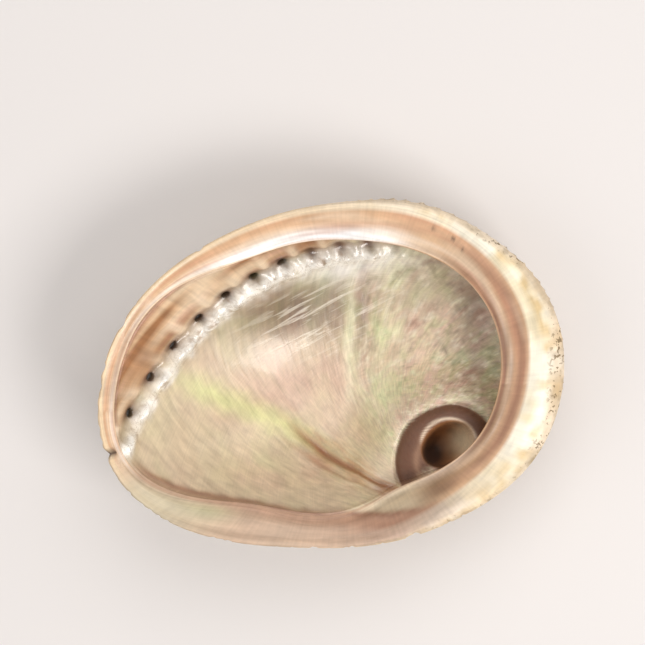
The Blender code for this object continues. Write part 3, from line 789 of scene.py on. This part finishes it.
def streak_lines(skin, at):
    """Growth coordinates that the streaks follow; on the shelf and the lip they run along the rim."""
    rimward = ramp(2.6, 3.0, skin.station) * (1 - ramp(7.8, 8.4, skin.station))
    rimward = np.clip(at.flare + rimward, 0, 1) > 0.5
    age = np.where(rimward, 5 + 0.07 * skin.station + 0.008 * skin.inset, skin.age)
    across = np.where(rimward, 0.9 * skin.angle, skin.across)
    return age, across


# ---- Making ----


def new_object(name, mesh):
    """Make an object of a bmesh in the scene."""
    data = bpy.data.meshes.new(name)
    mesh.to_mesh(data)
    mesh.free()
    item = bpy.data.objects.new(name, data)
    bpy.context.scene.collection.objects.link(item)
    return item


def make_skin():
    """Draw a sphere out into the shell's skin and give it its relief. Sizes stay in millimetres."""
    levels = stations()
    mesh = bmesh.new()
    bmesh.ops.create_uvsphere(mesh, u_segments=COLUMNS, v_segments=len(levels) - 1, radius=1.0)
    item = new_object("abalone_skin", mesh)
    count = len(item.data.vertices)
    ball = np.empty(count * 3)
    item.data.vertices.foreach_get("co", ball)
    ball = ball.reshape(-1, 3)
    even = np.arctan2(ball[:, 1], ball[:, 0])
    spire_angle = math.atan2(SPIRE[1] - CENTRE[1], SPIRE[0] - CENTRE[0])
    angle = even - CROWDING * np.sin(even - spire_angle)
    ring = np.rint(np.arccos(np.clip(ball[:, 2], -1, 1)) / math.pi * (len(levels) - 1)).astype(int)
    station = levels[ring]
    radius, height = shell_section(angle, station)
    place = np.c_[CENTRE[0] + radius * np.cos(angle), CENTRE[1] + radius * np.sin(angle), height]
    item.data.vertices.foreach_set("co", place.ravel())
    item.data.update()
    normal = np.empty(count * 3)
    item.data.vertices.foreach_get("normal", normal)
    normal = normal.reshape(-1, 3)

    skin = Skin(angle, station, place)
    inside = 1 - ramp(0.86, 1.6, station)
    lift = inside * (pore_relief(skin) + bowl_relief(skin))
    lift = np.where(lift < 0, lift * ramp(3, 9, skin.inset), lift)
    lift = lift + shelf_relief(skin) + ramp(8.2, 10.2, station) * back_relief(skin)
    place = place + normal * lift[:, None]
    chips = edge_chips(skin)
    place[:, 0] -= chips * np.cos(angle)
    place[:, 1] -= chips * np.sin(angle)
    item.data.vertices.foreach_set("co", place.ravel())
    item.data.update()
    return item, skin


def make_pore_plugs():
    """Tapered oval plugs, one for each open pore but the youngest, which is the notch in the margin."""
    mesh = bmesh.new()
    for number in range(1, OPEN_PORES):
        size = Matrix.Diagonal((PORE_LENGTH, PORE_WIDTH, 1, 1))
        bmesh.ops.create_cone(
            mesh, cap_ends=True, segments=BORE_SIDES, radius1=PORE_SHARE_OUT, radius2=PORE_SHARE_IN,
            depth=BORE_LENGTH, matrix=pore_frame(number) @ Matrix.Translation((0, 0, BORE_SHIFT)) @ size,
        )
    return new_object("pore_plugs", mesh)


def open_pores(item):
    """Cut the open pores right through the wall."""
    plugs = make_pore_plugs()
    step = item.modifiers.new("pores", "BOOLEAN")
    step.operation = "DIFFERENCE"
    step.solver = "EXACT"
    step.object = plugs
    depsgraph = bpy.context.evaluated_depsgraph_get()
    cut = bpy.data.meshes.new_from_object(item.evaluated_get(depsgraph))
    item.modifiers.clear()
    item.data = cut
    bpy.data.objects.remove(plugs, do_unlink=True)


def carry_over(item, before, values):
    """Values of the nearest vertex of the uncut skin, for each vertex of the cut one."""
    tree = KDTree(len(before))
    for index, spot in enumerate(before):
        tree.insert(spot, index)
    tree.balance()
    nearest = [tree.find(vertex.co)[1] for vertex in item.data.vertices]
    return [value[nearest] for value in values]


def pore_wall_shade(item):
    """Where shade is painted in the open pores: 1 on their walls, fading out just round their mouths."""
    count = len(item.data.vertices)
    spots = np.empty(count * 3)
    item.data.vertices.foreach_get("co", spots)
    spots = spots.reshape(-1, 3)
    depth = np.zeros(count)
    for number in range(1, OPEN_PORES):
        depth = np.maximum(depth, 1 - ramp(0.52, 0.68, near_axis(spots, number)))
    return depth


def set_down(item):
    """Turn the shell to its resting attitude, in metres, with its worn foot on the floor."""
    towards = math.radians(LEAN_TOWARDS)
    axis = Vector((-math.sin(towards), math.cos(towards), 0))
    turn = Matrix.Translation(Vector(SET_DOWN) * MM) @ Matrix.Rotation(math.radians(LEAN), 4, axis)
    item.data.transform(turn @ Matrix.Scale(MM, 4))
    for vertex in item.data.vertices:
        vertex.co.z = max(vertex.co.z, WORN_LEVEL)
    return turn


def store(item, name, values):
    """Keep a colour for each vertex as an attribute of the mesh."""
    layer = item.data.attributes.new(name, "FLOAT_COLOR", "POINT")
    layer.data.foreach_set("color", np.ascontiguousarray(values, dtype=np.float32).ravel())


def store_growth(item, age, across):
    """Keep the growth coordinates as the mesh's UV map."""
    corners = np.empty(len(item.data.loops), dtype=np.int32)
    item.data.loops.foreach_get("vertex_index", corners)
    layer = item.data.uv_layers.new(name="growth")
    pair = np.c_[age, across][corners].astype(np.float32)
    layer.data.foreach_set("uv", pair.ravel())


# ---- Materials ----


NOISES = (  # name, what it follows, how many to a metre or to a unit of growth, detail, distortion
    ("lines", "growth", (42.0, 3.0, 1.0), 5.0, 0.4),  # growth lines, 0.5 to 2 mm apart
    ("threads", "growth", (5.0, 60.0, 1.0), 3.0, 0.0),  # spiral threads, up to 0.5 mm apart
    ("lights", "growth", (8.0, 1.6, 1.0), 2.0, 0.8),  # broad bands of rose and green
    ("blotches", "place", (70.0, 70.0, 70.0), 3.0, 0.8),  # about 12 mm across
    ("clouds", "place", (300.0, 300.0, 300.0), 4.0, 0.3),  # about 3 mm across
    ("creases", "slant", (85.0, 900.0, 85.0), 2.0, 0.45),  # about 10 mm long
    ("fissures", "place", (330.0, 330.0, 330.0), 3.0, 1.5),
    ("crumples", "place", (330.0, 330.0, 330.0), 3.0, 1.5),  # 3 mm across
    ("specks", "place", (900.0, 900.0, 900.0), 3.0, 0.5),  # pits of the crust, 0.3 to 1 mm across
    ("gathering", "place", (75.0, 75.0, 75.0), 4.0, 0.0),
    ("dirt", "place", (260.0, 260.0, 260.0), 6.0, 0.0),
)
TONES = (  # name, noise, the stretch of the noise that is used, what it is turned into
    ("line_tone", "lines", 0.3, 0.7, 0.83, 1.11),
    ("thread_tone", "threads", 0.3, 0.7, 0.94, 1.05),
    ("blotch_tone", "blotches", 0.3, 0.7, 0.90, 1.06),
    ("cloud_tone", "clouds", 0.3, 0.7, 0.93, 1.05),
    ("crease_share", "creases", 0.54, 0.66, 0.0, 1.0),
    ("speck_limit", "gathering", 0.40, 0.62, 0.74, 0.55),
    ("dirt_share", "dirt", 0.52, 0.72, 0.0, 0.55),
    ("gloss_change", "blotches", 0.3, 0.7, -0.05, 0.08),
)
FISSURE_WIDTH = 0.030  # a fissure is drawn where its noise crosses its middle
PEARL_TINTS = ((0.36, "#e3a99c"), (0.46, "#e4c9b6"), (0.52, "#e3d3b0"), (0.58, "#d3d6a2"), (0.66, "#b4cf90"))
MATHS, MIX, RANGE = "ShaderNodeMath", "ShaderNodeMix", "ShaderNodeMapRange"


def node(tree, kind, settings=None, links=None):
    """Add a node with its settings. An input takes a value, a socket, or a node's first output."""
    made = tree.nodes.new(kind)
    for name, value in (settings or {}).items():
        setattr(made, name, value)
    for name, value in (links or {}).items():
        if isinstance(value, bpy.types.Node):
            value = value.outputs[0]
        if isinstance(value, bpy.types.NodeSocket):
            tree.links.new(value, made.inputs[name])
        else:
            made.inputs[name].default_value = value
    return made


def shell_material():
    """Shell: layered aragonite, pearly inside, porcelain-smooth on the rim, chalky and pitted outside.

    The eye sees soft pink and green lights in bands and blotches that follow the growth lines, with a clear
    gloss inside, and a dull, speckled crust outside.
    """
    material = bpy.data.materials.new("abalone_nacre")
    material.use_nodes = True
    tree = material.node_tree
    tree.nodes.clear()
    plus, minus, times = ({"operation": name} for name in ("ADD", "SUBTRACT", "MULTIPLY"))
    cover, darken = ({"data_type": "RGBA", "blend_type": name} for name in ("MIX", "MULTIPLY"))

    paint = node(tree, "ShaderNodeAttribute", {"attribute_name": "shell_colour"})
    finish = node(tree, "ShaderNodeAttribute", {"attribute_name": "shell_finish"})
    marks = node(tree, "ShaderNodeAttribute", {"attribute_name": "shell_marks"})
    pearl, crust, streaky = node(tree, "ShaderNodeSeparateColor", None, {"Color": finish}).outputs
    creased, crumpled = node(tree, "ShaderNodeSeparateColor", None, {"Color": marks}).outputs[:2]

    place = node(tree, "ShaderNodeTexCoord").outputs["Object"]
    slant = {"Vector": place, "Rotation": (0.0, 0.0, math.radians(-28))}
    follows = {
        "place": place,
        "slant": node(tree, "ShaderNodeMapping", None, slant),
        "growth": node(tree, "ShaderNodeUVMap", {"uv_map": "growth"}),
    }
    made = {}
    for name, what, scale, detail, distortion in NOISES:
        spot = node(tree, "ShaderNodeMapping", None, {"Vector": follows[what], "Scale": scale})
        look = {"Vector": spot, "Scale": 1.0, "Detail": detail, "Distortion": distortion}
        made[name] = node(tree, "ShaderNodeTexNoise", None, look)
    for name, source, start, end, low, high in TONES:
        stretch = {"Value": made[source], "From Min": start, "From Max": end, "To Min": low, "To Max": high}
        made[name] = node(tree, RANGE, None, stretch)
    off = node(tree, MATHS, minus, {0: made["fissures"], 1: 0.5})
    off = node(tree, MATHS, {"operation": "ABSOLUTE"}, {0: off})
    fade = {"Value": off, "From Min": 0.0, "From Max": FISSURE_WIDTH, "To Min": 1.0, "To Max": 0.0}
    fissure = node(tree, RANGE, None, fade)

    # The pearl's own colours, shifting from rose through cream to green.
    lights = node(tree, MATHS, plus, {0: made["lights"], 1: made["blotches"]})
    tints = node(tree, "ShaderNodeValToRGB", None, {"Fac": node(tree, MATHS, times, {0: lights, 1: 0.5})})
    steps = tints.color_ramp.elements
    steps.remove(steps[1])
    steps[0].position, steps[0].color = PEARL_TINTS[0][0], linear(PEARL_TINTS[0][1])
    for position, code in PEARL_TINTS[1:]:
        steps.new(position).color = linear(code)
    share = node(tree, MATHS, times, {0: streaky, 1: 0.30})
    pearly = node(tree, MIX, cover, {"Factor": share, 6: paint, 7: tints}).outputs[2]

    # Light and dark streaks along the growth lines, with faint threads across them.
    weave = node(tree, MATHS, times, {0: made["line_tone"], 1: made["thread_tone"]})
    patchy = node(tree, MATHS, times, {0: made["blotch_tone"], 1: made["cloud_tone"]})
    shade = node(tree, MATHS, times, {0: weave, 1: patchy})
    streaked = node(tree, MIX, darken, {"Factor": 1.0, 6: pearly, 7: shade}).outputs[2]

    # Painted highlights: pale streaks, up to 1 mm wide, along the creases across the darker patch; and brown
    # fissures in the bank by the pores.
    crease = node(tree, MATHS, times, {0: made["crease_share"], 1: creased})
    share = node(tree, MATHS, times, {0: crease, 1: 0.50})
    crease_highlighted = node(tree, MIX, cover, {"Factor": share, 6: streaked, 7: linear("#f4ecdc")}).outputs[2]
    fissure = node(tree, MATHS, times, {0: fissure, 1: crumpled})
    share = node(tree, MATHS, times, {0: fissure, 1: 0.45})
    banked = node(tree, MIX, cover, {"Factor": share, 6: crease_highlighted, 7: linear("#8f7455")}).outputs[2]

    # Dark specks and stains of the crust, gathered in patches.
    above = node(tree, MATHS, minus, {0: made["specks"], 1: made["speck_limit"]})
    fade = {"Value": above, "From Min": 0.0, "From Max": 0.03, "To Min": 0.0, "To Max": 0.9}
    speck = node(tree, RANGE, None, fade)
    stain = node(tree, MATHS, {"operation": "MAXIMUM"}, {0: speck, 1: made["dirt_share"]})
    stain = node(tree, MATHS, times, {0: stain, 1: crust})
    base = node(tree, MIX, cover, {"Factor": stain, 6: banked, 7: linear("#7f6a48")}).outputs[2]

    # Pearl is glossy, most of all on the bank by the pores, and the crust is dull.
    fade = {"Value": pearl, "From Min": 0.0, "From Max": 1.0, "To Min": 0.62, "To Max": 0.33}
    gloss = node(tree, MATHS, plus, {0: node(tree, RANGE, None, fade), 1: made["gloss_change"]})
    gloss = node(tree, MATHS, minus, {0: gloss, 1: node(tree, MATHS, times, {0: crumpled, 1: 0.10})})
    coat = node(tree, MATHS, times, {0: pearl, 1: 0.22})
    coat = node(tree, MATHS, plus, {0: coat, 1: node(tree, MATHS, times, {0: crumpled, 1: 0.30})})

    # The lines can be felt inside; the bank by the pores is crumpled; outside, the pits and grain show.
    depth = node(tree, MATHS, times, {0: crumpled, 1: 1.7})
    crumple = node(tree, MATHS, times, {0: made["crumples"], 1: depth})
    felt = node(tree, MATHS, plus, {0: weave, 1: node(tree, MATHS, times, {0: crease, 1: 0.5})})
    grain = node(tree, MATHS, minus, {0: made["clouds"], 1: stain})
    grain = node(tree, MATHS, times, {0: grain, 1: crust})
    height = node(tree, MATHS, plus, {0: node(tree, MATHS, plus, {0: felt, 1: crumple}), 1: grain})
    bump = node(tree, "ShaderNodeBump", None, {"Height": height, "Strength": 0.5, "Distance": 0.0003})
    surface = {
        "Base Color": base,
        "Roughness": gloss,
        "Coat Weight": coat,
        "Coat Roughness": 0.10,
        "IOR": 1.6,
        "Normal": bump,
    }
    shader = node(tree, "ShaderNodeBsdfPrincipled", None, surface)
    node(tree, "ShaderNodeOutputMaterial", None, {"Surface": shader})
    return material


def floor_material():
    """Seamless white paper, matt, with a faint warm cast."""
    material = bpy.data.materials.new("paper_sweep")
    material.use_nodes = True
    shader = material.node_tree.nodes["Principled BSDF"]
    shader.inputs["Base Color"].default_value = linear("#e1dedd")
    shader.inputs["Roughness"].default_value = 0.8
    return material


# ---- Scene ----


FLOOR_HALF = 3.0


def make_floor():
    """A plain sheet for the shell to rest on."""
    mesh = bmesh.new()
    bmesh.ops.create_grid(mesh, x_segments=1, y_segments=1, size=FLOOR_HALF)
    item = new_object("floor", mesh)
    item.data.materials.append(floor_material())


LOOK_AT = (0.0, 0.0, 0.02)
SOFTBOXES = (  # name, place, size, power in watts, tint
    ("key", (0.30, 0.70, 1.10), (1.3, 0.9), 6.8, "#fffaf5"),
    ("fill", (-0.8, -0.2, 0.9), (0.8, 0.8), 2.4, "#fffbf6"),
    ("front", (0.66, -0.45, 0.86), (0.55, 0.40), 7.5, "#fffbf7"),
)
CEILING, CEILING_STRENGTH = "#f4f1f0", 0.5


def make_lights():
    """Soft daylight from a big softbox on the far side, with two smaller ones and a bright ceiling."""
    for name, place, size, power, tint in SOFTBOXES:
        data = bpy.data.lights.new(name, "AREA")
        data.shape = "RECTANGLE"
        data.size, data.size_y = size
        data.energy = power
        data.color = linear(tint)[:3]
        item = bpy.data.objects.new(name, data)
        item.location = place
        item.rotation_euler = (Vector(LOOK_AT) - Vector(place)).to_track_quat("-Z", "Y").to_euler()
        bpy.context.scene.collection.objects.link(item)
    world = bpy.data.worlds.new("room")
    world.use_nodes = True
    world.node_tree.nodes["Background"].inputs["Color"].default_value = linear(CEILING)
    world.node_tree.nodes["Background"].inputs["Strength"].default_value = CEILING_STRENGTH
    bpy.context.scene.world = world


CAMERA_OVER = (-2.1, 14.3)  # the point of the rim's plane that it looks at, in millimetres
CAMERA_AWAY, WIDTH_SEEN = 600.0, 178.7
SENSOR = 36.0


def make_camera(turn):
    """Looks straight down into the bowl, square to its rim."""
    data = bpy.data.cameras.new("camera")
    data.sensor_width = SENSOR
    data.lens = SENSOR * CAMERA_AWAY / WIDTH_SEEN
    data.clip_start = 0.01
    item = bpy.data.objects.new("camera", data)
    stand = turn @ Matrix.Scale(MM, 4) @ Vector((*CAMERA_OVER, CAMERA_AWAY))
    item.matrix_world = Matrix.Translation(stand) @ turn.to_3x3().to_4x4()
    bpy.context.scene.collection.objects.link(item)
    bpy.context.scene.camera = item


def make_scene():
    """Make the shell's skin, its finish, and the sheet, lights and camera around it."""
    bpy.context.scene.view_settings.view_transform = "Standard"
    item, skin = make_skin()
    at = Places(skin)
    colour = paint_shell(skin, at)
    finish, marks = finish_shell(skin, at)
    age, across = streak_lines(skin, at)
    before = [vertex.co.copy() for vertex in item.data.vertices]
    open_pores(item)
    age, across, colour, finish, marks = carry_over(item, before, (age, across, colour, finish, marks))
    # Painted shade: the walls of the open pores go near-black brown.
    deep = pore_wall_shade(item)[:, None]
    colour = colour * (1 - deep) + np.array(linear("#38220f")) * deep
    store(item, "shell_colour", colour)
    store(item, "shell_finish", finish)
    store(item, "shell_marks", marks)
    store_growth(item, age, across)
    turn = set_down(item)
    item.data.materials.clear()
    item.data.materials.append(shell_material())
    item.data.shade_smooth()
    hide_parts("abalone_shell")
    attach(item, "root")

    make_floor()
    make_lights()
    make_camera(turn)


make_scene()
